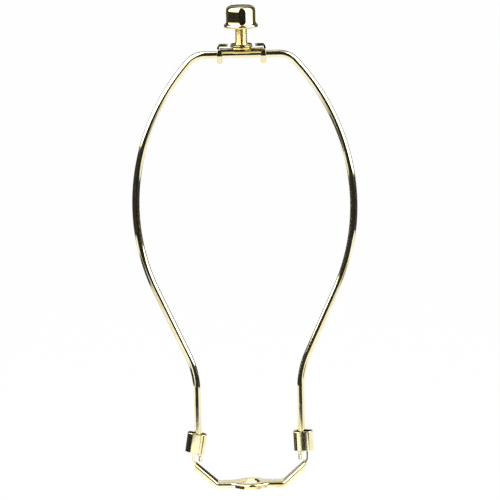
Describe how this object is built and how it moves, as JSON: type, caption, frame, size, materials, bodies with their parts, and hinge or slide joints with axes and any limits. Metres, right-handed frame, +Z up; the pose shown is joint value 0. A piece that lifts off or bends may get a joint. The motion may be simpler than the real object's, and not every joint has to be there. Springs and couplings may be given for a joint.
{
  "type": "lamp harp",
  "caption": "Bent-wire shade support that lifts off a pressed saddle, with locking sleeves, a swivelling threaded stud and a cap finial.",
  "frame": {"origin": "centre of the saddle's ring hole, on the underside of its web, where it sits on the lamp", "axes": "+Z up along the threaded tube that the ring hole takes, X across the harp from leg to leg, Y from front to back"},
  "size_m": [0.1184, 0.018, 0.2573],
  "materials": {
    "plated_wire": "polished, brass plated",
    "plated_strip": "polished, brass plated, with faint press marks",
    "drawn_sleeve": "polished, brass plated, with fine lengthwise draw marks",
    "plated_stamping": "bright, brass plated",
    "turned_brass": "bright, as turned",
    "finial_shell": "mirror polished"
  },
  "bodies": {
    "saddle": {"saddle": "plated_strip"},
    "harp": {"harp_wire": "plated_wire", "shade_rest": "plated_stamping", "stud_washer": "plated_stamping"},
    "ferrule_left": {"ferrule_left": "drawn_sleeve"},
    "ferrule_right": {"ferrule_right": "drawn_sleeve"},
    "stud": {"swivel_stud": "turned_brass"},
    "finial": {"finial_cap": "finial_shell", "finial_nut": "turned_brass"}
  },
  "joints": [
    {"name": "harp_lift", "type": "slide", "parent": "saddle", "child": "harp", "axis": [0, 0, 1], "range_m": [0, 0.016]},
    {"name": "ferrule_left_slide", "type": "slide", "parent": "harp", "child": "ferrule_left", "axis": [0, 0, 1], "range_m": [0, 0.018]},
    {"name": "ferrule_right_slide", "type": "slide", "parent": "harp", "child": "ferrule_right", "axis": [0, 0, 1], "range_m": [0, 0.018]},
    {"name": "stud_swivel", "type": "hinge", "parent": "harp", "child": "stud", "pos_m": [0, 0, 0.2335], "axis": [0, 0, 1], "continuous": true},
    {"name": "finial_screw", "type": "slide", "parent": "stud", "child": "finial", "axis": [0, 0, 1], "range_m": [-0.0069, 0.03]}
  ]
}
